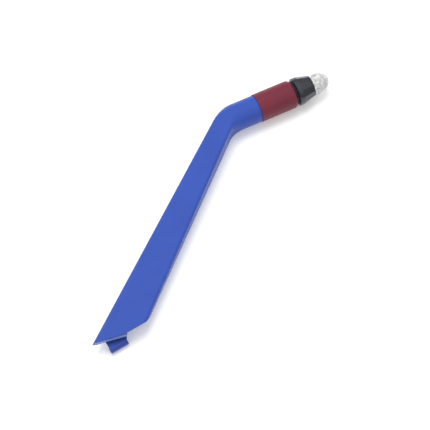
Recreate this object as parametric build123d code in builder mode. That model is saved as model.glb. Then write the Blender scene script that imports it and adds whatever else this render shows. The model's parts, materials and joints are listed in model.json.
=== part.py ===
"""Bent-neck lighted dental probe wand, modelled piece by piece, in millimetres.

The wand lies on a table, at z = 0. +X runs along the tapering handle blade, from its pointed end to the
elbow. The round neck leaves the elbow level with the table, turned towards -Y. Places along the neck are
distances from the elbow, the point where the blade's centre line meets the neck's axis.
"""

import os
from math import cos, radians, sin, tan

from build123d import *

# ---- whole wand ----
NECK_TURN = 40.6  # degrees between the blade and the neck, seen from above
AXIS_HEIGHT = 7.0  # height of the neck's axis, and of the moulding's parting plane
ELBOW_X = 41.46  # the elbow from the middle of the whole wand's box
ELBOW_Y = 14.4

# ---- handle blade ----
BLADE_LENGTH = 125.5  # elbow to pointed end
FAR_WIDTH_AT_ELBOW = 4.5  # from the centre line to the long side that ends in the point
FAR_WIDTH_AT_END = 8.6
NEAR_WIDTH_AT_ELBOW = 5.0  # from the centre line to the side that ends in the heel
NEAR_WIDTH_AT_END = 9.7
BLADE_HEIGHT_AT_ELBOW = 12.6
BLADE_HEIGHT_AT_END = 3.5
BLADE_EDGE = 1.6  # rounding of the blade's long edges
SPARE = 1.5  # how far a raw shape runs past the cut that trims it
WALL = 1.6
CAVITY_EDGE = 0.6
CAVITY_START = 9.0  # the hollow runs this far from the elbow
CAVITY_END = 94.0

# ---- oblique end, measured from the elbow ----
TIP = (-BLADE_LENGTH, 8.3)
KINK = (-115.34, -2.98)
HEEL = (-106.55, -9.0)
OVERRUN = 1.4  # how far past the tip and the heel each cut runs, as a share of its length
UNDERCUT = 36.0  # degrees from upright, the slope under the end between kink and heel
UNDERCUT_LEDGE = 0.5  # height of the upright face left above that slope
INSERT_WIDTH = 0.5  # how far the pale edge stands out at the kink
INSERT_START = 0.6  # where it begins, from the pointed end
INSERT_LOW = 5.9
INSERT_HIGH = 8.2
TONGUE_DEPTH = 2.0
TONGUE_STEP = 0.5  # how much thinner than the edge the tongue is, on each face
TONGUE_FROM_TIP = 5.0
TONGUE_FROM_KINK = 1.5

# ---- elbow and neck ----
BEND_RADIUS = 16.0
BEND_STEPS = 6
NECK_FLAT = 0.1  # half-width of the flats left where the elbow's section turns round
NECK_RADIUS = 6.75
NECK_END = 16.5

# ---- neck barrel ----
BARREL_START = 8.0
BARREL_RADIUS = 5.4
BARREL_ROOT_RADIUS = 5.3
BARREL_BORE = 4.45
FLANGE_START = 10.0
FLANGE_END = 11.5
FLANGE_RADIUS = 6.0
GROOVE_START = 35.95
THREAD_START = 36.95
THREAD_RADIUS = 4.95
BARREL_END = 43.5
FIT = 0.05  # radial running clearance

# ---- switch ring ----
RING_START = 16.65
RING_END = 35.8
RING_RADIUS = 7.0
RING_NOSE = 2.2  # length of the rounding at the ring's front
RING_NOSE_RADIUS = 5.9
WIPER_START = 24.0
WIPER_END = 28.0
WIPER_THICKNESS = 0.3
WIPER_ARC = 36.0  # degrees
PAD_DEPTH = 0.4
PAD_MARGIN = 1.0  # the contact pad is shorter than the wiper's groove by this at each end
PAD_ARC = 30.0  # degrees

# ---- collar nut ----
NUT_START = 37.05
NUT_RIM_END = 39.4
NUT_END = 45.6
NUT_RADIUS = 6.95
NUT_NOSE_RADIUS = 5.3
NUT_SIDES = 12
NUT_TURN = 0.0  # degrees, where the first flat starts
NUT_EDGE = 0.6
NUT_FRONT_WALL = 44.1
NUT_MOUTH = 4.2

# ---- lens ----
LENS_BASE = 45.9
LENS_SHOULDER = 48.5
LENS_TIP = 55.1
LENS_RADIUS = 5.2
LENS_STEM_START = 44.0
LENS_STEM_RADIUS = 4.15
LENS_BORE = 3.5
LENS_WALL = 1.7

# ---- lamp ----
HOLDER_START = 35.5
HOLDER_FACE = 41.0
HOLDER_END = 43.95
HOLDER_RADIUS = 4.38
LED_RADIUS = 1.5
LED_FLANGE_RADIUS = 1.7
LED_FLANGE_END = 42.0
LED_TIP = 46.5
LAMP_GAP = 0.2  # radial room around the reflector and around the lamp's flange
LEAD_RADIUS = 0.25
LEAD_OFFSET = 1.27
REFLECTOR_END = 46.0
REFLECTOR_RADIUS = 3.4
REFLECTOR_LIP = 0.2
REFLECTOR_WAIST = (43.6, 2.7)  # a point of the bowl between its foot and its lip

# ---- button cells and their contacts ----
CELL_RADIUS = 3.95
CELL_HEIGHT = 3.6
CELL_CAP_RADIUS = 3.1
CELL_CAP_HEIGHT = 0.4
CELL_START = 18.0
CELLS = ("cell_rear", "cell_middle", "cell_front")
SPRING_WIRE = 0.25
SPRING_RADIUS = 1.7
SPRING_TURNS = 5
CONTACT_START = 8.4
CONTACT_DISC = 1.5
CONTACT_POST_RADIUS = 2.5
CONTACT_END = 13.0
SLEEVE_REAR_LAP = 1.0
SLEEVE_FRONT_LAP = 1.5

# ---- clip under the blade ----
CLIP_THICKNESS = 0.8
CLIP_GAP = 0.45  # between the blade's underside and the arm
CLIP_PIVOT_X = -78.0
CLIP_LEVEL_X = -104.0  # from here to the lip the arm runs level
CLIP_ARM_HALF_WIDTH = 3.4
CLIP_LIP_WIDTH = 8.75
CLIP_LIP_OVERLAP = -0.6  # how far the lip runs past the kink, towards the heel
CLIP_LIP_REACH = 0.85  # how far the arm runs out past the heel's edge before it curls
CLIP_FLARE = 1.2  # how much the arm widens where it turns into the lip
CLIP_WAIST = 2.0  # half the arm's width beside the lip, on the near side
CLIP_NEAR_FLARE_LENGTH = 2.8  # from the lip's ends back along the arm to where it starts to widen
CLIP_FAR_FLARE_LENGTH = 8.0
CLIP_SHOULDER = 3.0  # length of the lip's straight end
CLIP_TOE = 1.2
PIN_RADIUS = 0.5
EYE_RADIUS = 1.0
EAR_RIM = 0.2  # how much the ears stand out around the eye
EAR_GAP = 0.2
EAR_THICKNESS = 1.4

# ---- shell screws ----
SCREW_PLACES = (-34.0, -62.0)
SCREW_RADIUS = 0.9
SCREW_HEAD_RADIUS = 1.9
SCREW_HEAD_HEIGHT = 1.2
SCREW_SINK = 0.4
SCREW_HOLE_GAP = 0.1
SCREW_HEAD_GAP = 0.15
SCREW_RECESS = (2.2, 0.5)  # length and width of each arm of the cross
BOSS_RADIUS = 2.8
BOSS_ROOF = 2.24  # solid left above the screw's hole

# ---- worked out ----
ELBOW = Vector(ELBOW_X, ELBOW_Y, AXIS_HEIGHT)
NECK_DIRECTION = Vector(cos(radians(NECK_TURN)), -sin(radians(NECK_TURN)), 0)
NECK_AXIS = Axis(ELBOW, NECK_DIRECTION)
# Local x runs along the neck and local y points up, so a profile point is (distance, radius).
NECK_SECTION = Plane(ELBOW, x_dir=NECK_DIRECTION, z_dir=NECK_DIRECTION.cross(Vector(0, 0, 1)))
BEND_REACH = BEND_RADIUS * tan(radians(NECK_TURN / 2))
ROOM = 2 * AXIS_HEIGHT + 2 * SPARE  # tall enough to cut right through the wand


def along_blade(at_elbow, at_end, x):
    """A size of the blade that changes evenly from the elbow to the pointed end."""
    return at_elbow + (at_end - at_elbow) * -x / BLADE_LENGTH


def blade_half_height(x):
    return along_blade(BLADE_HEIGHT_AT_ELBOW, BLADE_HEIGHT_AT_END, x) / 2


def far_side(x):
    return along_blade(FAR_WIDTH_AT_ELBOW, FAR_WIDTH_AT_END, x)


def near_side(x):
    return along_blade(NEAR_WIDTH_AT_ELBOW, NEAR_WIDTH_AT_END, x)


def cavity_section(x):
    """The hollow's cross-section at x, measured from the elbow: a wall's thickness inside the blade."""
    middle = ELBOW_Y + (far_side(x) - near_side(x)) / 2
    plane = Plane((ELBOW_X + x, middle, AXIS_HEIGHT), x_dir=(0, 1, 0), z_dir=(1, 0, 0))
    with BuildSketch(plane) as section:
        RectangleRounded(
            far_side(x) + near_side(x) - 2 * WALL,
            2 * blade_half_height(x) - 2 * WALL,
            CAVITY_EDGE,
        )
    return section.sketch


def bend_section(share):
    """The elbow's cross-section, easing from the blade's shape to the round neck as share goes from 0 to 1."""
    turn = radians(NECK_TURN * share)
    centre = Vector(ELBOW_X - BEND_REACH, ELBOW_Y - BEND_RADIUS, AXIS_HEIGHT)
    outward = Vector(sin(turn), cos(turn), 0)
    plane = Plane(centre + outward * BEND_RADIUS, x_dir=outward, z_dir=(cos(turn), -sin(turn), 0))
    ease = share * share * (3 - 2 * share)
    width = far_side(-BEND_REACH) + near_side(-BEND_REACH)
    height = 2 * blade_half_height(-BEND_REACH)
    middle = (far_side(-BEND_REACH) - near_side(-BEND_REACH)) / 2
    with BuildSketch(plane) as section:
        with Locations((middle * (1 - ease), 0)):
            RectangleRounded(
                width + (2 * NECK_RADIUS - width) * ease,
                height + (2 * NECK_RADIUS - height) * ease,
                BLADE_EDGE + (NECK_RADIUS - NECK_FLAT - BLADE_EDGE) * ease,
            )
    return section.sketch


def neck_profile(*points):
    """A closed outline beside the neck's axis, from (distance from the elbow, radius) points."""
    with BuildSketch(NECK_SECTION) as profile:
        with BuildLine():
            Polyline(*points, close=True)
        make_face()
    return profile.sketch


def neck_plane(distance):
    """A plane across the neck, facing the lens, with local y up."""
    return Plane(
        ELBOW + NECK_DIRECTION * distance,
        x_dir=Vector(0, 0, 1).cross(NECK_DIRECTION),
        z_dir=NECK_DIRECTION,
    )


def from_elbow(point):
    """A plan point measured from the elbow, as a plan point of the whole wand."""
    place = Vector(point)
    return (ELBOW_X + place.X, ELBOW_Y + place.Y)


# ======== handle moulding, before it is parted ========
tip = Vector(*TIP)
kink = Vector(*KINK)
heel = Vector(*HEEL)
end_edge = (kink - tip).normalized()
end_outward = Vector(end_edge.Y, -end_edge.X)
insert_corner = kink + end_outward * INSERT_WIDTH

blade_start = -BLADE_LENGTH - SPARE
with BuildPart() as moulding:
    # blade: its outline from above, trimmed by its outline from the side, long edges rounded
    with BuildSketch():
        with BuildLine():
            Polyline(
                from_elbow((blade_start, far_side(blade_start))),
                from_elbow((-BEND_REACH, far_side(-BEND_REACH))),
                from_elbow((-BEND_REACH, -near_side(-BEND_REACH))),
                from_elbow((blade_start, -near_side(blade_start))),
                close=True,
            )
        make_face()
    extrude(amount=ROOM)
    with BuildSketch(Plane((ELBOW_X, ELBOW_Y, AXIS_HEIGHT), x_dir=(1, 0, 0), z_dir=(0, -1, 0))):
        with BuildLine():
            Polyline(
                (blade_start, blade_half_height(blade_start)),
                (-BEND_REACH, blade_half_height(-BEND_REACH)),
                (-BEND_REACH, -blade_half_height(-BEND_REACH)),
                (blade_start, -blade_half_height(blade_start)),
                close=True,
            )
        make_face()
    extrude(amount=far_side(blade_start) + near_side(blade_start), both=True, mode=Mode.INTERSECT)
    fillet(moulding.edges().sort_by(SortBy.LENGTH)[-4:], radius=BLADE_EDGE)
    # elbow, from the blade's own end face to the round neck
    blade_end = moulding.faces().sort_by(Axis.X)[-1]
    loft([blade_end, *[bend_section((step + 1) / BEND_STEPS) for step in range(BEND_STEPS)]])
    with BuildSketch(neck_plane(BEND_REACH)):
        Circle(NECK_RADIUS)
    extrude(amount=NECK_END - BEND_REACH)
    # hollow blade
    loft([cavity_section(-CAVITY_END), cavity_section(-CAVITY_START)], ruled=True, mode=Mode.SUBTRACT)
    # seat for the barrel and its locking flange
    revolve(
        neck_profile(
            (BARREL_START - FIT, 0),
            (BARREL_START - FIT, BARREL_ROOT_RADIUS + FIT),
            (FLANGE_START - FIT, BARREL_ROOT_RADIUS + FIT),
            (FLANGE_START - FIT, FLANGE_RADIUS + FIT),
            (FLANGE_END + FIT, FLANGE_RADIUS + FIT),
            (FLANGE_END + FIT, BARREL_ROOT_RADIUS + FIT),
            (NECK_END + SPARE, BARREL_ROOT_RADIUS + FIT),
            (NECK_END + SPARE, 0),
        ),
        axis=NECK_AXIS,
        mode=Mode.SUBTRACT,
    )
    # oblique end in two cuts
    past_tip = kink + (tip - kink) * OVERRUN
    past_heel = kink + (heel - kink) * OVERRUN
    with BuildSketch():
        with BuildLine():
            Polyline(
                from_elbow(past_tip),
                from_elbow(kink),
                from_elbow(past_heel),
                from_elbow((past_tip.X - SPARE, past_heel.Y)),
                from_elbow((past_tip.X - SPARE, past_tip.Y)),
                close=True,
            )
        make_face()
    extrude(amount=ROOM, mode=Mode.SUBTRACT)
    # slope under the edge between kink and heel
    heel_edge = (heel - kink).normalized()
    heel_inward = Vector(-heel_edge.Y, heel_edge.X)
    slope_plane = Plane(from_elbow(kink) + (0,), x_dir=heel_inward, z_dir=heel_inward.cross(Vector(0, 0, 1)))
    slope_top = AXIS_HEIGHT + blade_half_height(kink.X) - UNDERCUT_LEDGE
    with BuildSketch(slope_plane):
        with BuildLine():
            Polyline(
                (0, slope_top),
                (-SPARE, slope_top),
                (-SPARE, 0),
                (slope_top * tan(radians(UNDERCUT)), 0),
                close=True,
            )
        make_face()
    extrude(amount=(heel - kink).length * OVERRUN, mode=Mode.SUBTRACT)
    # pocket for the pale edge's tongue
    tongue_in = end_outward * -TONGUE_DEPTH
    tongue_from = tip + end_edge * TONGUE_FROM_TIP
    tongue_to = kink - end_edge * TONGUE_FROM_KINK
    tongue_height = INSERT_HIGH - INSERT_LOW - 2 * TONGUE_STEP
    with BuildSketch(Plane.XY.offset(INSERT_LOW + TONGUE_STEP)) as tongue_plan:
        with BuildLine():
            Polyline(
                from_elbow(tongue_from),
                from_elbow(tongue_to),
                from_elbow(tongue_to + tongue_in),
                from_elbow(tongue_from + tongue_in),
                close=True,
            )
        make_face()
    extrude(amount=tongue_height, mode=Mode.SUBTRACT)

parting = Plane.XY.offset(AXIS_HEIGHT)

# ======== upper half of the handle ========
with BuildPart() as handle_top_shell:
    add(moulding.part)
    split(bisect_by=parting, keep=Keep.TOP)
    # screw bosses hang from the roof down to the parting plane
    for place in SCREW_PLACES:
        with BuildSketch(parting):
            with Locations((ELBOW_X + place, ELBOW_Y)):
                Circle(BOSS_RADIUS)
        extrude(amount=blade_half_height(place) - WALL / 2)
        with BuildSketch(parting):
            with Locations((ELBOW_X + place, ELBOW_Y)):
                Circle(SCREW_RADIUS)
        extrude(amount=blade_half_height(place) - BOSS_ROOF, mode=Mode.SUBTRACT)

# ======== lower half of the handle, with the ears of the clip ========
pivot_height = AXIS_HEIGHT - blade_half_height(CLIP_PIVOT_X) - CLIP_GAP - EYE_RADIUS
ear_middle = CLIP_ARM_HALF_WIDTH + EAR_GAP + EAR_THICKNESS / 2
with BuildPart() as handle_bottom_shell:
    add(moulding.part)
    split(bisect_by=parting, keep=Keep.BOTTOM)
    for place in SCREW_PLACES:
        half = blade_half_height(place)
        with BuildSketch(parting):
            with Locations((ELBOW_X + place, ELBOW_Y)):
                Circle(BOSS_RADIUS)
        extrude(amount=-(half - WALL / 2))
        with BuildSketch(parting):
            with Locations((ELBOW_X + place, ELBOW_Y)):
                Circle(SCREW_RADIUS + SCREW_HOLE_GAP)
        extrude(amount=-half - SPARE, mode=Mode.SUBTRACT)
        with BuildSketch(Plane.XY.offset(AXIS_HEIGHT - half - SPARE)):
            with Locations((ELBOW_X + place, ELBOW_Y)):
                Circle(SCREW_HEAD_RADIUS + SCREW_HEAD_GAP)
        extrude(amount=SPARE + SCREW_HEAD_HEIGHT + SCREW_SINK, mode=Mode.SUBTRACT)
    # two ears carry the clip's pin
    for side in (-1, 1):
        ear_plane = Plane(
            (ELBOW_X + CLIP_PIVOT_X, ELBOW_Y + side * ear_middle, pivot_height),
            x_dir=(1, 0, 0),
            z_dir=(0, -1, 0),
        )
        with BuildSketch(ear_plane):
            Circle(EYE_RADIUS + EAR_RIM)
            with Locations((0, EYE_RADIUS)):
                Rectangle(2 * (EYE_RADIUS + EAR_RIM), 2 * EYE_RADIUS)
            Circle(PIN_RADIUS, mode=Mode.SUBTRACT)
        extrude(amount=EAR_THICKNESS / 2, both=True)

# ======== pale edge along the oblique end ========
with BuildPart() as edge_insert:
    with BuildSketch(Plane.XY.offset(INSERT_LOW)):
        with BuildLine():
            Polyline(
                from_elbow(tip + end_edge * INSERT_START),
                from_elbow(kink),
                from_elbow(insert_corner),
                close=True,
            )
        make_face()
    extrude(amount=INSERT_HIGH - INSERT_LOW)
    with BuildSketch(Plane.XY.offset(INSERT_LOW + TONGUE_STEP)):
        add(tongue_plan.sketch)
    extrude(amount=tongue_height)

# ======== clip: a flat arm under the blade, ending in a curled lip ========
lip_direction = (heel - kink).normalized()
lip_outward = Vector(lip_direction.Y, -lip_direction.X)
lip_right = kink + lip_direction * CLIP_LIP_OVERLAP
lip_left = lip_right - lip_direction * CLIP_LIP_WIDTH
arm_level_height = AXIS_HEIGHT - blade_half_height(CLIP_LEVEL_X) - CLIP_GAP
curl_radius = (arm_level_height - CLIP_THICKNESS) / 2
curl_start = lip_right + lip_outward * CLIP_LIP_REACH
curl_plane = Plane(
    from_elbow(curl_start) + (arm_level_height - CLIP_THICKNESS / 2 - curl_radius,),
    x_dir=lip_outward,
    z_dir=lip_outward.cross(Vector(0, 0, 1)),
)
with BuildPart() as spring_clip:
    # arm, cut out of a sheet that follows the blade's underside and then runs level
    with BuildSketch(Plane((ELBOW_X, ELBOW_Y, 0), x_dir=(1, 0, 0), z_dir=(0, -1, 0))):
        with BuildLine():
            Polyline(
                (CLIP_PIVOT_X, pivot_height + EYE_RADIUS),
                (CLIP_LEVEL_X, arm_level_height),
                (-BLADE_LENGTH, arm_level_height),
                (-BLADE_LENGTH, arm_level_height - CLIP_THICKNESS),
                (CLIP_LEVEL_X, arm_level_height - CLIP_THICKNESS),
                (CLIP_PIVOT_X, pivot_height + EYE_RADIUS - CLIP_THICKNESS),
                close=True,
            )
        make_face()
    extrude(amount=far_side(-BLADE_LENGTH) + CLIP_LIP_REACH, both=True)
    with BuildSketch():
        with BuildLine():
            Polyline(
                from_elbow((CLIP_PIVOT_X, -CLIP_ARM_HALF_WIDTH)),
                from_elbow((CLIP_PIVOT_X, CLIP_ARM_HALF_WIDTH)),
                from_elbow((lip_left.X + CLIP_FAR_FLARE_LENGTH, CLIP_ARM_HALF_WIDTH + CLIP_FLARE)),
                from_elbow(lip_left - lip_outward * CLIP_SHOULDER),
                from_elbow(lip_left + lip_outward * CLIP_LIP_REACH),
                from_elbow(curl_start),
                from_elbow((lip_right.X + CLIP_NEAR_FLARE_LENGTH, -CLIP_WAIST)),
                close=True,
            )
        make_face()
    extrude(amount=AXIS_HEIGHT, mode=Mode.INTERSECT)
    # curled lip: half a tube with a short turned-in toe
    with BuildSketch(curl_plane):
        Circle(curl_radius + CLIP_THICKNESS / 2)
        Circle(curl_radius - CLIP_THICKNESS / 2, mode=Mode.SUBTRACT)
        with Locations((-2 * curl_radius, 0)):
            Rectangle(4 * curl_radius, 4 * curl_radius, mode=Mode.SUBTRACT)
        with Locations((-CLIP_TOE / 2, -curl_radius)):
            Rectangle(CLIP_TOE, CLIP_THICKNESS)
    extrude(amount=CLIP_LIP_WIDTH)
    # rolled eye around the pin
    eye_plane = Plane(from_elbow((CLIP_PIVOT_X, 0)) + (pivot_height,), x_dir=(1, 0, 0), z_dir=(0, -1, 0))
    with BuildSketch(eye_plane):
        Circle(EYE_RADIUS)
    extrude(amount=CLIP_ARM_HALF_WIDTH, both=True)
    with BuildSketch(eye_plane):
        Circle(PIN_RADIUS + FIT)
    extrude(amount=CLIP_ARM_HALF_WIDTH, both=True, mode=Mode.SUBTRACT)

with BuildPart() as clip_pin:
    with BuildSketch(eye_plane):
        Circle(PIN_RADIUS)
    extrude(amount=CLIP_ARM_HALF_WIDTH + EAR_GAP + EAR_THICKNESS, both=True)

# ======== screws that close the handle, heads sunk in its underside ========
with BuildPart() as shell_screws:
    for place in SCREW_PLACES:
        half = blade_half_height(place)
        seat = AXIS_HEIGHT - half + SCREW_HEAD_HEIGHT + SCREW_SINK
        centre = (ELBOW_X + place, ELBOW_Y)
        with BuildSketch(Plane.XY.offset(seat - SCREW_HEAD_HEIGHT)):
            with Locations(centre):
                Circle(SCREW_HEAD_RADIUS)
        extrude(amount=SCREW_HEAD_HEIGHT)
        with BuildSketch(Plane.XY.offset(seat)):
            with Locations(centre):
                Circle(SCREW_RADIUS)
        extrude(amount=AXIS_HEIGHT + half - 2 * WALL - seat)
        with BuildSketch(Plane.XY.offset(seat - SCREW_HEAD_HEIGHT)):
            with Locations(centre):
                Rectangle(*SCREW_RECESS)
                Rectangle(*SCREW_RECESS, rotation=90)
        extrude(amount=SCREW_HEAD_HEIGHT / 2, mode=Mode.SUBTRACT)

# ======== barrel: metal tube clamped in the neck, threaded at the front ========
with BuildPart() as neck_barrel:
    revolve(
        neck_profile(
            (BARREL_START, 0),
            (BARREL_START, BARREL_ROOT_RADIUS),
            (FLANGE_START, BARREL_ROOT_RADIUS),
            (FLANGE_START, FLANGE_RADIUS),
            (FLANGE_END, FLANGE_RADIUS),
            (FLANGE_END, BARREL_ROOT_RADIUS),
            (NECK_END, BARREL_ROOT_RADIUS),
            (NECK_END, BARREL_RADIUS),
            (GROOVE_START, BARREL_RADIUS),
            (GROOVE_START, THREAD_RADIUS),
            (BARREL_END, THREAD_RADIUS),
            (BARREL_END, BARREL_BORE),
            (CONTACT_START - FIT, BARREL_BORE),
            (CONTACT_START - FIT, 0),
        ),
        axis=NECK_AXIS,
    )
    # flush pocket for the switch contact
    contact_outline = neck_profile(
        (WIPER_START + PAD_MARGIN, BARREL_RADIUS - PAD_DEPTH),
        (WIPER_START + PAD_MARGIN, BARREL_RADIUS),
        (WIPER_END - PAD_MARGIN, BARREL_RADIUS),
        (WIPER_END - PAD_MARGIN, BARREL_RADIUS - PAD_DEPTH),
    )
    revolve(contact_outline, axis=NECK_AXIS, revolution_arc=PAD_ARC, mode=Mode.SUBTRACT)

with BuildPart() as switch_contact:
    revolve(contact_outline, axis=NECK_AXIS, revolution_arc=PAD_ARC)

# ======== switch ring that turns on the barrel, with its sliding contact ========
groove_radius = BARREL_RADIUS + FIT + PAD_DEPTH
with BuildPart() as switch_ring:
    with BuildSketch(NECK_SECTION):
        with BuildLine():
            Polyline(
                (RING_END - RING_NOSE, RING_RADIUS),
                (RING_START, RING_RADIUS),
                (RING_START, BARREL_RADIUS + FIT),
                (RING_END, BARREL_RADIUS + FIT),
                (RING_END, RING_NOSE_RADIUS),
            )
            EllipticalCenterArc(
                (RING_END - RING_NOSE, RING_NOSE_RADIUS),
                RING_NOSE,
                RING_RADIUS - RING_NOSE_RADIUS,
                0,
                arc_size=90,
            )
        make_face()
    revolve(axis=NECK_AXIS)
    revolve(
        neck_profile(
            (WIPER_START, BARREL_RADIUS),
            (WIPER_START, groove_radius),
            (WIPER_END, groove_radius),
            (WIPER_END, BARREL_RADIUS),
        ),
        axis=NECK_AXIS,
        mode=Mode.SUBTRACT,
    )

with BuildPart() as switch_wiper:
    revolve(
        neck_profile(
            (WIPER_START + FIT, groove_radius - WIPER_THICKNESS),
            (WIPER_START + FIT, groove_radius),
            (WIPER_END - FIT, groove_radius),
            (WIPER_END - FIT, groove_radius - WIPER_THICKNESS),
        ),
        axis=NECK_AXIS,
        revolution_arc=WIPER_ARC,
    )

# ======== round seal against the barrel's shoulder ========
seal_section = (THREAD_START - GROOVE_START) / 2
with BuildPart() as seal_ring:
    with BuildSketch(NECK_SECTION):
        with Locations((GROOVE_START + seal_section, THREAD_RADIUS + seal_section)):
            Circle(seal_section)
    revolve(axis=NECK_AXIS)

# ======== collar nut: round rim, then a cone of flats ========
with BuildPart() as collar_nut:
    revolve(
        neck_profile((NUT_START, 0), (NUT_START, NUT_RADIUS), (NUT_RIM_END, NUT_RADIUS), (NUT_RIM_END, 0)),
        axis=NECK_AXIS,
    )
    fillet(collar_nut.edges().sort_by(NECK_AXIS)[0], radius=NUT_EDGE)
    with BuildSketch(neck_plane(NUT_RIM_END)) as wide_end:
        RegularPolygon(NUT_RADIUS, NUT_SIDES, rotation=NUT_TURN)
    with BuildSketch(neck_plane(NUT_END)) as narrow_end:
        RegularPolygon(NUT_NOSE_RADIUS, NUT_SIDES, rotation=NUT_TURN)
    loft([wide_end.sketch, narrow_end.sketch], ruled=True)
    revolve(
        neck_profile(
            (NUT_START, 0),
            (NUT_START, THREAD_RADIUS + FIT),
            (NUT_FRONT_WALL, THREAD_RADIUS + FIT),
            (NUT_FRONT_WALL, NUT_MOUTH),
            (NUT_END, NUT_MOUTH),
            (NUT_END, 0),
        ),
        axis=NECK_AXIS,
        mode=Mode.SUBTRACT,
    )

with BuildPart() as lens_gasket:
    revolve(
        neck_profile(
            (NUT_END, NUT_MOUTH),
            (NUT_END, LENS_RADIUS - FIT),
            (LENS_BASE, LENS_RADIUS - FIT),
            (LENS_BASE, NUT_MOUTH),
        ),
        axis=NECK_AXIS,
    )

# ======== clear lens: a hollow dome on a stem that snaps into the nut's mouth ========
with BuildPart() as lens_dome:
    with BuildSketch(NECK_SECTION):
        with BuildLine():
            EllipticalCenterArc((LENS_SHOULDER, 0), LENS_TIP - LENS_SHOULDER, LENS_RADIUS, 0, arc_size=90)
            Polyline(
                (LENS_SHOULDER, LENS_RADIUS),
                (LENS_BASE, LENS_RADIUS),
                (LENS_BASE, LENS_STEM_RADIUS),
                (LENS_STEM_START, LENS_STEM_RADIUS),
                (LENS_STEM_START, LENS_BORE),
                (LENS_SHOULDER, LENS_BORE),
            )
            EllipticalCenterArc(
                (LENS_SHOULDER, 0), LENS_TIP - LENS_WALL - LENS_SHOULDER, LENS_BORE, 0, arc_size=90
            )
            Line((LENS_TIP - LENS_WALL, 0), (LENS_TIP, 0))
        make_face()
    revolve(axis=NECK_AXIS)

# ======== lamp: holder, leads, light-emitting diode and reflector ========
with BuildPart() as led_holder:
    revolve(
        neck_profile(
            (HOLDER_START, 0),
            (HOLDER_START, HOLDER_RADIUS),
            (HOLDER_END, HOLDER_RADIUS),
            (HOLDER_END, REFLECTOR_RADIUS + LAMP_GAP),
            (HOLDER_FACE, REFLECTOR_RADIUS + LAMP_GAP),
            (HOLDER_FACE, 0),
        ),
        axis=NECK_AXIS,
    )
    with BuildSketch(neck_plane(HOLDER_START)):
        with Locations((-LEAD_OFFSET, 0), (LEAD_OFFSET, 0)):
            Circle(LEAD_RADIUS + FIT)
    extrude(amount=HOLDER_FACE - HOLDER_START, mode=Mode.SUBTRACT)

with BuildPart() as led_leads:
    with BuildSketch(neck_plane(HOLDER_START)):
        with Locations((-LEAD_OFFSET, 0), (LEAD_OFFSET, 0)):
            Circle(LEAD_RADIUS)
    extrude(amount=HOLDER_FACE - HOLDER_START)

led_dome = LED_TIP - LED_RADIUS
with BuildPart() as led_body:
    with BuildSketch(NECK_SECTION):
        with BuildLine():
            Polyline(
                (LED_TIP, 0),
                (HOLDER_FACE, 0),
                (HOLDER_FACE, LED_FLANGE_RADIUS),
                (LED_FLANGE_END, LED_FLANGE_RADIUS),
                (LED_FLANGE_END, LED_RADIUS),
                (led_dome, LED_RADIUS),
            )
            CenterArc((led_dome, 0), LED_RADIUS, 0, 90)
        make_face()
    revolve(axis=NECK_AXIS)

with BuildPart() as reflector:
    with BuildSketch(NECK_SECTION):
        with BuildLine():
            Polyline(
                (LED_FLANGE_END, LED_FLANGE_RADIUS + LAMP_GAP),
                (HOLDER_FACE, LED_FLANGE_RADIUS + LAMP_GAP),
                (HOLDER_FACE, REFLECTOR_RADIUS),
                (REFLECTOR_END, REFLECTOR_RADIUS),
                (REFLECTOR_END, REFLECTOR_RADIUS - REFLECTOR_LIP),
            )
            ThreePointArc(
                (LED_FLANGE_END, LED_FLANGE_RADIUS + LAMP_GAP),
                REFLECTOR_WAIST,
                (REFLECTOR_END, REFLECTOR_RADIUS - REFLECTOR_LIP),
            )
        make_face()
    revolve(axis=NECK_AXIS)


# ======== button cells, their sleeve and their contacts ========
def button_cell(start):
    """One cell from its wide face at start, with its smaller cap towards the lens."""
    shoulder = start + CELL_HEIGHT - CELL_CAP_HEIGHT
    with BuildPart() as cell:
        revolve(
            neck_profile(
                (start, 0),
                (start, CELL_RADIUS),
                (shoulder, CELL_RADIUS),
                (shoulder, CELL_CAP_RADIUS),
                (start + CELL_HEIGHT, CELL_CAP_RADIUS),
                (start + CELL_HEIGHT, 0),
            ),
            axis=NECK_AXIS,
        )
    return cell


def coil_spring(start, end):
    """A round-wire compression spring on the neck's axis, its ends clear of both faces."""
    with BuildPart() as spring:
        with BuildLine() as wire:
            Helix(
                pitch=(end - start) / SPRING_TURNS,
                height=end - start - 2 * SPRING_WIRE - 2 * FIT,
                radius=SPRING_RADIUS,
                center=ELBOW + NECK_DIRECTION * (start + SPRING_WIRE + FIT),
                direction=NECK_DIRECTION,
            )
        with BuildSketch(Plane(wire.line @ 0, z_dir=wire.line % 0)):
            Circle(SPRING_WIRE)
        sweep()
    return spring


stack_end = CELL_START + len(CELLS) * CELL_HEIGHT
cells = {name: button_cell(CELL_START + place * CELL_HEIGHT) for place, name in enumerate(CELLS)}
rear_spring = coil_spring(CONTACT_END, CELL_START)
contact_spring = coil_spring(stack_end, HOLDER_START)

with BuildPart() as cell_sleeve:
    revolve(
        neck_profile(
            (CELL_START - SLEEVE_REAR_LAP, CELL_RADIUS + FIT),
            (CELL_START - SLEEVE_REAR_LAP, BARREL_BORE - FIT),
            (stack_end + SLEEVE_FRONT_LAP, BARREL_BORE - FIT),
            (stack_end + SLEEVE_FRONT_LAP, CELL_RADIUS + FIT),
        ),
        axis=NECK_AXIS,
    )

with BuildPart() as rear_contact:
    revolve(
        neck_profile(
            (CONTACT_START, 0),
            (CONTACT_START, BARREL_BORE - FIT),
            (CONTACT_START + CONTACT_DISC, BARREL_BORE - FIT),
            (CONTACT_START + CONTACT_DISC, CONTACT_POST_RADIUS),
            (CONTACT_END, CONTACT_POST_RADIUS),
            (CONTACT_END, 0),
        ),
        axis=NECK_AXIS,
    )

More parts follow.
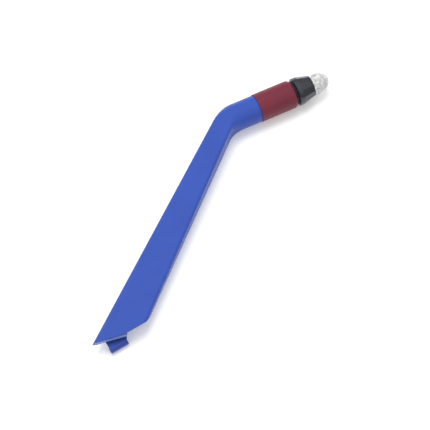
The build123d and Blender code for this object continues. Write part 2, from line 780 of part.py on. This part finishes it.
# ======== one file for each piece ========
pieces = {
    "handle_top_shell": handle_top_shell,
    "handle_bottom_shell": handle_bottom_shell,
    "shell_screws": shell_screws,
    "edge_insert": edge_insert,
    "spring_clip": spring_clip,
    "clip_pin": clip_pin,
    "neck_barrel": neck_barrel,
    "switch_contact": switch_contact,
    "switch_ring": switch_ring,
    "switch_wiper": switch_wiper,
    "seal_ring": seal_ring,
    "collar_nut": collar_nut,
    "lens_gasket": lens_gasket,
    "lens_dome": lens_dome,
    "led_holder": led_holder,
    "led_leads": led_leads,
    "led_body": led_body,
    "reflector": reflector,
    "contact_spring": contact_spring,
    "cell_sleeve": cell_sleeve,
    "rear_spring": rear_spring,
    "rear_contact": rear_contact,
    **cells,
}
os.makedirs("parts", exist_ok=True)
for name, piece in pieces.items():
    piece.part.label = name
    export_step(piece.part, f"parts/{name}.step")
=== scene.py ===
"""Looks of the bent-neck lighted dental probe wand, in metres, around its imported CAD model.

Places along the neck are distances from the elbow, where the blade's centre line meets the neck's axis.
"""
import json
import math

import bmesh
import bpy
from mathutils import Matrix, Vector, noise


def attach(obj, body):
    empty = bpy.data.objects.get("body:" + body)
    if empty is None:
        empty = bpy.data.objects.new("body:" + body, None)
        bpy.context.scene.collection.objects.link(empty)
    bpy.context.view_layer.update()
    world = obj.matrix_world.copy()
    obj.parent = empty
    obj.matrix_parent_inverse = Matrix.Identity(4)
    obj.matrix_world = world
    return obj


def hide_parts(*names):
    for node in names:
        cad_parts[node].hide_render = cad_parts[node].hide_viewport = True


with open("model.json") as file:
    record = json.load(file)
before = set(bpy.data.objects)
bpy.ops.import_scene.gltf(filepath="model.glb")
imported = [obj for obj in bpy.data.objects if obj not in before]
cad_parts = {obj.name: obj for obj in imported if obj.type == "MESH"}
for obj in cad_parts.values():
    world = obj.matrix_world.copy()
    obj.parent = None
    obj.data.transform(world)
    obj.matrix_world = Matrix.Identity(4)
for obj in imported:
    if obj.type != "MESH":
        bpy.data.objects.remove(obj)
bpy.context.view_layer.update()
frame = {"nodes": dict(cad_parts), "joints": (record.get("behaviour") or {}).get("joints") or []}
MM = 0.001

# ---- camera: a long lens, well above the table and square to its near edge ----
LENS_MM = 100.0
SENSOR_MM = 36.0
NEAREST_SEEN = 0.01
CAMERA_AZIMUTH = math.radians(-65.8)
CAMERA_ELEVATION = math.radians(67.0)
CAMERA_DISTANCE = 0.5537
CAMERA_AIM = Vector((-0.00502, -0.00086, 0.007))

# ---- studio: a white room with darker walls, a large soft key beyond the wand, and a small glint ----
ROOM_TOP = 1.02  # brightness overhead
ROOM_WALLS = 0.12  # brightness at the height of the table
KEY_PLACE = (-0.10, 0.31)  # right and away of the wand, as the camera sees it
KEY_HEIGHT = 0.9
KEY_SIZE = 0.5
KEY_WATTS = 4.6
TABLE_GLOW = 0.22  # light from the table top itself
GLINT_PLACE = (-0.55, 0.25)
GLINT_HEIGHT = 0.7
GLINT_SIZE = 0.14
GLINT_WATTS = 0.8
FLOOR_HALF = 3.0
FLOOR_DROP = 0.00005  # keeps the floor clear of the wand's underside

# ---- neck, read from the frame ----
joints = {joint["name"]: joint for joint in frame["joints"]}
NECK_DIRECTION = Vector(joints["ring_turn"]["axis"]).normalized()
NECK_POINT = Vector(joints["ring_turn"]["pos_m"])
NECK_UP = Vector((0, 0, 1))
NECK_SIDE = NECK_UP.cross(NECK_DIRECTION).normalized()


def neck_reach(node):
    """(first, last, widest) of a CAD node on the neck: two distances from NECK_POINT, and a radius."""
    distances, radii = [], []
    for vertex in frame["nodes"][node].data.vertices:
        offset = vertex.co - NECK_POINT
        along = offset.dot(NECK_DIRECTION)
        distances.append(along)
        radii.append((offset - NECK_DIRECTION * along).length)
    return min(distances), max(distances), max(radii)


def neck_point(along, radius, turn):
    """A point beside the neck's axis, at a turn measured from straight up."""
    across = NECK_UP * math.cos(turn) + NECK_SIDE * math.sin(turn)
    return NECK_POINT + NECK_DIRECTION * along + across * radius


# ======== camera, floor and light ========
def aim(thing, target):
    """Turns a camera or a light to face a point."""
    thing.rotation_euler = (target - thing.location).to_track_quat("-Z", "Y").to_euler()


def add_camera():
    data = bpy.data.cameras.new("camera")
    data.lens = LENS_MM
    data.sensor_width = SENSOR_MM
    data.clip_start = NEAREST_SEEN
    camera = bpy.data.objects.new("camera", data)
    bpy.context.scene.collection.objects.link(camera)
    level = math.cos(CAMERA_ELEVATION) * CAMERA_DISTANCE
    camera.location = CAMERA_AIM + Vector((
        math.sin(CAMERA_AZIMUTH) * level,
        -math.cos(CAMERA_AZIMUTH) * level,
        math.sin(CAMERA_ELEVATION) * CAMERA_DISTANCE,
    ))
    aim(camera, CAMERA_AIM)
    bpy.context.scene.camera = camera


def add_area_light(name, place, size, watts, glossy=True):
    """A round softbox aimed at the wand; glossy=False keeps its own image out of polished surfaces."""
    data = bpy.data.lights.new(name, "AREA")
    data.shape = "DISK"
    data.size = size
    data.energy = watts
    light = bpy.data.objects.new(name, data)
    bpy.context.scene.collection.objects.link(light)
    light.location = place
    light.visible_glossy = glossy
    aim(light, Vector((0, 0, 0)))


def table_direction(right, away):
    """A level direction from the camera's right and away, so that the light stays beside the camera."""
    across = Vector((math.cos(CAMERA_AZIMUTH), math.sin(CAMERA_AZIMUTH), 0))
    ahead = Vector((-math.sin(CAMERA_AZIMUTH), math.cos(CAMERA_AZIMUTH), 0))
    return across * right + ahead * away


def add_studio():
    floor_mesh = bpy.data.meshes.new("floor")
    corners = [(x * FLOOR_HALF, y * FLOOR_HALF, 0) for x, y in ((-1, -1), (1, -1), (1, 1), (-1, 1))]
    floor_mesh.from_pydata(corners, [], [(0, 1, 2, 3)])
    floor = bpy.data.objects.new("floor", floor_mesh)
    bpy.context.scene.collection.objects.link(floor)
    floor.location.z = -FLOOR_DROP
    floor.data.materials.append(paper_white())
    world = bpy.data.worlds.new("studio")
    bpy.context.scene.world = world
    world.use_nodes = True
    nodes, links = world.node_tree.nodes, world.node_tree.links
    direction = nodes.new("ShaderNodeTexCoord")
    parts = nodes.new("ShaderNodeSeparateXYZ")
    height = nodes.new("ShaderNodeValToRGB")
    height.color_ramp.elements[0].color = (ROOM_WALLS, ROOM_WALLS, ROOM_WALLS, 1)
    height.color_ramp.elements[1].color = (1, 1, 1, 1)
    links.new(direction.outputs["Generated"], parts.inputs["Vector"])
    links.new(parts.outputs["Z"], height.inputs["Fac"])
    links.new(height.outputs["Color"], nodes["Background"].inputs["Color"])
    nodes["Background"].inputs["Strength"].default_value = ROOM_TOP
    key_place = table_direction(*KEY_PLACE) + Vector((0, 0, KEY_HEIGHT))
    add_area_light("key", key_place, KEY_SIZE, KEY_WATTS, glossy=False)
    glint_place = table_direction(*GLINT_PLACE) + Vector((0, 0, GLINT_HEIGHT))
    add_area_light("glint", glint_place, GLINT_SIZE, GLINT_WATTS)
    bpy.context.scene.view_settings.view_transform = "Standard"


# ======== materials ========
NOISE_LOW = 0.3  # the part of the noise's range that is spread over a colour or a value
NOISE_HIGH = 0.7


def shader(name, color, roughness):
    """A material and its Principled shader, which the details are wired to."""
    material = bpy.data.materials.new(name)
    material.use_nodes = True
    principled = material.node_tree.nodes["Principled BSDF"]
    principled.inputs["Base Color"].default_value = (*color, 1)
    principled.inputs["Roughness"].default_value = roughness
    return material, principled


def object_noise(material, scale, detail=4.0, stretch=None):
    """Noise in object space, its features about 1/scale metres across; stretch is (scale, rotation)."""
    nodes, links = material.node_tree.nodes, material.node_tree.links
    place = nodes.new("ShaderNodeTexCoord")
    source = place.outputs["Object"]
    if stretch is not None:
        mapping = nodes.new("ShaderNodeMapping")
        mapping.inputs["Scale"].default_value = stretch[0]
        mapping.inputs["Rotation"].default_value = stretch[1]
        links.new(source, mapping.inputs["Vector"])
        source = mapping.outputs["Vector"]
    texture = nodes.new("ShaderNodeTexNoise")
    texture.inputs["Scale"].default_value = scale
    texture.inputs["Detail"].default_value = detail
    links.new(source, texture.inputs["Vector"])
    return texture.outputs["Fac"]


def vary(material, source, low, high, target):
    """Drives a number socket between low and high from a 0 to 1 source."""
    nodes, links = material.node_tree.nodes, material.node_tree.links
    spread = nodes.new("ShaderNodeMapRange")
    spread.inputs["From Min"].default_value = NOISE_LOW
    spread.inputs["From Max"].default_value = NOISE_HIGH
    spread.inputs["To Min"].default_value = low
    spread.inputs["To Max"].default_value = high
    links.new(source, spread.inputs["Value"])
    links.new(spread.outputs["Result"], target)


def tint(material, source, dark, light, target):
    """Drives a colour socket between two colours from a 0 to 1 source."""
    nodes, links = material.node_tree.nodes, material.node_tree.links
    ramp = nodes.new("ShaderNodeValToRGB")
    ramp.color_ramp.elements[0].position = NOISE_LOW
    ramp.color_ramp.elements[0].color = (*dark, 1)
    ramp.color_ramp.elements[1].position = NOISE_HIGH
    ramp.color_ramp.elements[1].color = (*light, 1)
    links.new(source, ramp.inputs["Fac"])
    links.new(ramp.outputs["Color"], target)


def bump(material, principled, heights):
    """Chains bumps: heights are (source, strength, distance in metres)."""
    nodes, links = material.node_tree.nodes, material.node_tree.links
    normal = None
    for source, strength, distance in heights:
        node = nodes.new("ShaderNodeBump")
        node.inputs["Strength"].default_value = strength
        node.inputs["Distance"].default_value = distance
        links.new(source, node.inputs["Height"])
        if normal is not None:
            links.new(normal, node.inputs["Normal"])
        normal = node.outputs["Normal"]
    links.new(normal, principled.inputs["Normal"])


def shades(color, spread):
    """A darker and a lighter neighbour of a colour."""
    return tuple(c * (1 - spread) for c in color), tuple(c * (1 + spread) for c in color)


def moulded(name, color, roughness=0.4, spread=0.05, grain=0.15, gloss=0.3):
    """Moulded plastic: slow colour drift, fine spark-eroded grain and a few soft rub marks."""
    material, principled = shader(name, color, roughness)
    principled.inputs["Specular IOR Level"].default_value = gloss
    drift = object_noise(material, 60.0, 3.0)
    dark, light = shades(color, spread)
    tint(material, drift, dark, light, principled.inputs["Base Color"])
    rubs = object_noise(material, 260.0, 6.0, ((1.0, 4.0, 4.0), (0, 0, 0)))
    vary(material, rubs, roughness - 0.06, roughness + 0.08, principled.inputs["Roughness"])
    fine = object_noise(material, 5200.0, 2.0)
    wavy = object_noise(material, 420.0, 2.0)
    bump(material, principled, [(fine, grain, 0.00002), (wavy, 0.25, 0.00003)])
    return material


def metal(name, color, roughness, streaks=(1.0, 1.0, 1.0), grain=0.2):
    """Bare metal with drawn streaks, stains and fine pitting."""
    material, principled = shader(name, color, roughness)
    principled.inputs["Metallic"].default_value = 1.0
    drift = object_noise(material, 300.0, 5.0)
    dark, light = shades(color, 0.12)
    tint(material, drift, dark, light, principled.inputs["Base Color"])
    drawn = object_noise(material, 1500.0, 3.0, (streaks, (0, 0, 0)))
    vary(material, drawn, roughness * 0.75, roughness * 1.35, principled.inputs["Roughness"])
    bump(material, principled, [(drawn, grain, 0.00001)])
    return material


def rubber(name):
    """Black elastomer with a dry bloom."""
    material, principled = shader(name, (0.012, 0.012, 0.013), 0.55)
    bloom = object_noise(material, 500.0, 5.0)
    tint(material, bloom, (0.008, 0.008, 0.009), (0.022, 0.022, 0.024), principled.inputs["Base Color"])
    vary(material, bloom, 0.42, 0.66, principled.inputs["Roughness"])
    bump(material, principled, [(object_noise(material, 4000.0, 2.0), 0.3, 0.00002)])
    return material


def gloss_black(name):
    """Polished black plastic with faint sink marks and hairline scratches."""
    material, principled = shader(name, (0.022, 0.024, 0.032), 0.16)
    drift = object_noise(material, 220.0, 4.0)
    tint(material, drift, (0.018, 0.020, 0.028), (0.032, 0.034, 0.046), principled.inputs["Base Color"])
    hairlines = object_noise(material, 900.0, 6.0, ((1.0, 9.0, 1.0), (0, 0, 0.7)))
    vary(material, hairlines, 0.14, 0.30, principled.inputs["Roughness"])
    bump(material, principled, [(object_noise(material, 350.0, 2.0), 0.2, 0.00004)])
    principled.inputs["Specular IOR Level"].default_value = 0.62
    return material


def clear_plastic(name, color, roughness=0.05):
    """Clear acrylic with slight haze and moulding ripples."""
    material, principled = shader(name, color, roughness)
    principled.inputs["Transmission Weight"].default_value = 1.0
    principled.inputs["IOR"].default_value = 1.49
    haze = object_noise(material, 700.0, 4.0)
    vary(material, haze, roughness * 0.5, roughness * 2.2, principled.inputs["Roughness"])
    bump(material, principled, [(object_noise(material, 1300.0, 2.0), 0.35, 0.00006)])
    return material


def frosted_crystal(name):
    """Clear moulded plastic, milky in patches, over the lamp; its grey flecks are painted shade,
    standing for the dark speckle that light through the pebbles gives.
    """
    material, principled = shader(name, (0.86, 0.87, 0.89), 0.08)
    principled.inputs["IOR"].default_value = 1.49
    speckle_shade = object_noise(material, 1900.0, 3.0)
    # painted shade: grey flecks in the base colour, for the dark speckle that the pebbles give when
    # light passes through them
    tint(material, speckle_shade, (0.58, 0.58, 0.59), (1.0, 1.0, 1.0), principled.inputs["Base Color"])
    milk = object_noise(material, 700.0, 4.0)
    vary(material, milk, 0.0, 0.65, principled.inputs["Transmission Weight"])
    vary(material, speckle_shade, 0.05, 0.22, principled.inputs["Roughness"])
    bump(material, principled, [(object_noise(material, 1500.0, 3.0), 0.5, 0.00012)])
    return material


def paper_white():
    """The pale table top, lit a little from below as a light table is, which lifts its shadows."""
    material, principled = shader("paper_white", (0.9, 0.9, 0.9), 0.9)
    principled.inputs["Emission Color"].default_value = (1, 1, 1, 1)
    principled.inputs["Emission Strength"].default_value = TABLE_GLOW
    fibres = object_noise(material, 900.0, 3.0)
    tint(material, fibres, (0.895, 0.895, 0.895), (0.905, 0.905, 0.905), principled.inputs["Base Color"])
    return material


BLUE = (0.034, 0.082, 0.41)
# painted highlight: the edge insert is a real part, but its blue, much paler than the handle's, is the
# colour of the band of light along the blade's end edge
HIGHLIGHT_EDGE_BLUE = (0.19, 0.29, 0.62)
CLIP_BLUE = (0.030, 0.068, 0.36)
MAROON = (0.172, 0.024, 0.044)

add_camera()
add_studio()

handle_blue = moulded("handle_blue", BLUE, 0.40)
# painted highlight: the paler blue stands for the light caught by the blade's end edge
highlight_edge_blue = moulded("highlight_edge_blue", HIGHLIGHT_EDGE_BLUE, 0.35)
clip_blue = moulded("clip_blue", CLIP_BLUE, 0.32, gloss=0.4)
maroon = moulded("maroon", MAROON, 0.46, gloss=0.28)
black = gloss_black("black_gloss")
seal_black = rubber("seal_black")
white_holder = moulded("white_holder", (0.72, 0.72, 0.70), 0.5)
card_sleeve = moulded("card_sleeve", (0.70, 0.70, 0.66), 0.7, grain=0.4)
lens_clear = frosted_crystal("lens_clear")
led_clear = clear_plastic("led_clear", (0.98, 0.95, 0.80), 0.03)
steel = metal("steel", (0.56, 0.56, 0.58), 0.32)
dark_steel = metal("dark_steel", (0.38, 0.39, 0.41), 0.38)
brass = metal("brass", (0.72, 0.52, 0.24), 0.28)
silver = metal("silver", (0.86, 0.86, 0.88), 0.10, grain=0.35)
tinned = metal("tinned", (0.68, 0.68, 0.69), 0.25)


# ======== lens: a clear dome, pebbled inside, that stands for the CAD's plain one ========
LENS_RINGS = 44
LENS_SPOKES = 112
SKIRT_RINGS = 8
SKIRT = 2.2 * MM  # length of the straight part behind the dome
LENS_WALL = 0.9 * MM
LENS_GAP = 0.3 * MM  # between the nut's face and the lens
STEM_STEP = 1.05 * MM  # how much narrower than the dome the stem is
BORE_STEP = 1.7 * MM
PEBBLE = 0.85 * MM  # size of the bumps moulded inside
PEBBLE_DEPTH = 0.28 * MM
PEBBLE_STEEPNESS = 1.6
RIPPLE = 0.03 * MM
RIPPLE_LENGTH = 1.6 * MM


def dome_profile(base, tip, radius):
    """(distance, radius) points from the open end of a straight skirt to the tip of its round end."""
    points = [(base + SKIRT * step / SKIRT_RINGS, radius) for step in range(SKIRT_RINGS)]
    dome = tip - base - SKIRT
    for step in range(LENS_RINGS + 1):
        turn = math.pi / 2 * step / LENS_RINGS
        points.append((base + SKIRT + dome * math.sin(turn), radius * math.cos(turn)))
    return points


def pebbles(point):
    """Height of the moulded pebbles at a point, from 0 in the grooves to 1 on the crowns."""
    distances, _places = noise.voronoi(point / PEBBLE)
    return min(1.0, PEBBLE_STEEPNESS * (distances[1] - distances[0]))


def smooth(point):
    """No relief."""
    return 0.0


def ripples(point):
    """Relief of the outer skin: slow waves, all of them inside the plain dome."""
    return -RIPPLE * noise.noise(point / RIPPLE_LENGTH) - RIPPLE


def pebbled(point):
    """Relief of the inner skin: bumps that stand in from the wall."""
    return -PEBBLE_DEPTH * pebbles(point)


def ring_of_points(mesh, along, radius, relief):
    """One ring of the lens around the neck's axis; relief moves each point out or in."""
    ring = []
    for spoke in range(LENS_SPOKES):
        turn = math.tau * spoke / LENS_SPOKES
        point = neck_point(along, radius, turn)
        ring.append(mesh.verts.new(neck_point(along, radius + relief(point), turn)))
    return ring


def bridge(mesh, rings):
    """Faces between neighbouring rings."""
    for first, second in zip(rings, rings[1:]):
        for spoke in range(LENS_SPOKES):
            after = (spoke + 1) % LENS_SPOKES
            mesh.faces.new((first[spoke], first[after], second[after], second[spoke]))


def close_tip(mesh, ring, tip):
    """A fan from the last ring to the tip."""
    for spoke in range(LENS_SPOKES):
        mesh.faces.new((ring[spoke], ring[(spoke + 1) % LENS_SPOKES], tip))


def build_lens():
    """The dome's outer skin, its pebbled inner skin, and the stem that plugs into the nut."""
    start, end, widest = neck_reach("lens_dome")
    _nut_start, nut_end, _nut_radius = neck_reach("collar_nut")
    base = nut_end + LENS_GAP
    stem_radius = widest - STEM_STEP
    bore = widest - BORE_STEP
    mesh = bmesh.new()
    outer = dome_profile(base, end, widest)[:-1]
    inner = dome_profile(base, end - LENS_WALL, widest - LENS_WALL)[:-1]
    rings = [ring_of_points(mesh, along, radius, ripples) for along, radius in reversed(outer)]
    outer_tip = mesh.verts.new(neck_point(end, 0, 0))
    flat = [
        (base, stem_radius),
        (start, stem_radius),
        (start, bore),
        (base, bore),
    ]
    rings += [ring_of_points(mesh, along, radius, smooth) for along, radius in flat]
    rings += [ring_of_points(mesh, along, radius, pebbled) for along, radius in inner]
    inner_tip = mesh.verts.new(neck_point(end - LENS_WALL, 0, 0))
    bridge(mesh, rings)
    close_tip(mesh, rings[0], outer_tip)
    close_tip(mesh, rings[-1], inner_tip)
    bmesh.ops.recalc_face_normals(mesh, faces=mesh.faces)
    data = bpy.data.meshes.new("pebbled_lens")
    mesh.to_mesh(data)
    mesh.free()
    for face in data.polygons:
        face.use_smooth = True
    lens = bpy.data.objects.new("pebbled_lens", data)
    bpy.context.scene.collection.objects.link(lens)
    data.materials.append(lens_clear)
    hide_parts("lens_dome")
    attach(lens, "nut")


build_lens()

NODE_MATERIALS = {
    "handle_top_shell": handle_blue,
    "handle_bottom_shell": handle_blue,
    "edge_insert": highlight_edge_blue,
    "spring_clip": clip_blue,
    "clip_pin": steel,
    "shell_screws": dark_steel,
    "neck_barrel": steel,
    "switch_contact": brass,
    "switch_ring": maroon,
    "switch_wiper": brass,
    "seal_ring": seal_black,
    "collar_nut": black,
    "lens_gasket": seal_black,
    "led_holder": white_holder,
    "led_leads": tinned,
    "led_body": led_clear,
    "reflector": silver,
    "contact_spring": tinned,
    "cell_sleeve": card_sleeve,
    "rear_spring": tinned,
    "rear_contact": brass,
    "cell_rear": steel,
    "cell_middle": steel,
    "cell_front": steel,
}
SOFT_EDGES_MM = {
    "handle_top_shell": 0.12,
    "handle_bottom_shell": 0.12,
    "edge_insert": 0.08,
    "spring_clip": 0.15,
    "collar_nut": 0.14,
    "switch_ring": 0.18,
    "shell_screws": 0.06,
}
SOFT_EDGE_SEGMENTS = 3
SOFT_EDGE_ANGLE = math.radians(24)  # edges flatter than this stay as they are


def dress(node, material):
    """Gives a CAD node its material, and rounds its sharp edges a little where they show."""
    thing = frame["nodes"][node]
    thing.data.materials.clear()
    thing.data.materials.append(material)
    if node in SOFT_EDGES_MM:
        edge = thing.modifiers.new("soft_edges", "BEVEL")
        edge.width = SOFT_EDGES_MM[node] * MM
        edge.segments = SOFT_EDGE_SEGMENTS
        edge.limit_method = "ANGLE"
        edge.angle_limit = SOFT_EDGE_ANGLE
        edge.harden_normals = True


for node_name, node_material in NODE_MATERIALS.items():
    dress(node_name, node_material)
